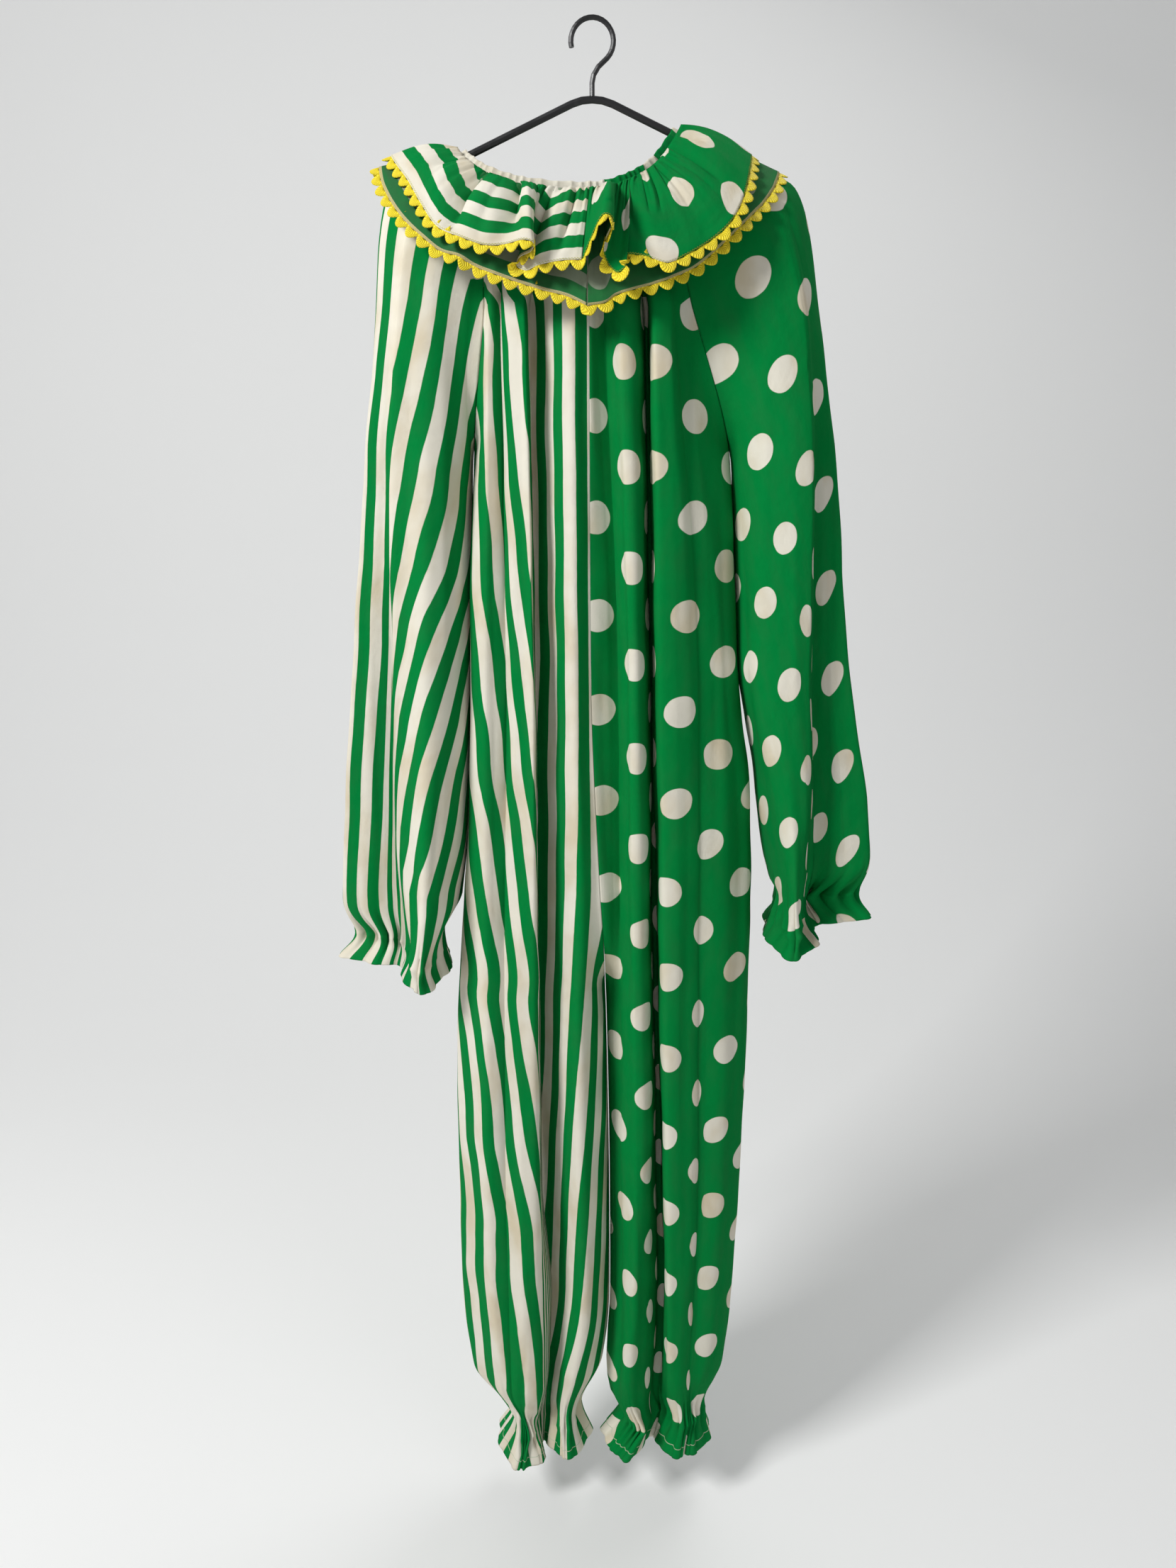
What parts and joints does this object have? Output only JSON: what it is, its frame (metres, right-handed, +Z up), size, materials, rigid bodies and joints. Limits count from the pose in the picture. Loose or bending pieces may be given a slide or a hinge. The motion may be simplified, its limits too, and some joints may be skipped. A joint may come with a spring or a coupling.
{
  "type": "clown costume on a hanger",
  "caption": "Loose clown jumpsuit, half striped and half dotted, with a ruffled collar, yellow rickrack and gathered cuffs, hung on a plain hook hanger.",
  "frame": {"origin": "inner top of the hanger's hook, where it hangs on a rail or peg", "axes": "+Z up, front of the costume faces -Y, +X towards the wearer's left"},
  "size_m": [0.6077, 0.2006, 1.6263],
  "materials": {
    "striped_cotton": "thin plain-weave cotton, green and white stripes, matt",
    "dotted_cotton": "thin plain-weave cotton, green with white dots, matt",
    "yellow_rickrack": "woven yellow braid, slight sheen",
    "black_plastic": "moulded, smooth"
  },
  "bodies": {
    "root": {"front_right": "striped_cotton", "back_right": "striped_cotton", "sleeve_right": "striped_cotton", "collar_lower_right": "striped_cotton", "collar_upper_right": "striped_cotton", "neck_band_right": "striped_cotton", "front_left": "dotted_cotton", "back_left": "dotted_cotton", "sleeve_left": "dotted_cotton", "collar_lower_left": "dotted_cotton", "collar_upper_left": "dotted_cotton", "neck_band_left": "dotted_cotton", "rickrack_lower": "yellow_rickrack", "rickrack_upper": "yellow_rickrack", "hanger": "black_plastic"}
  },
  "joints": []
}
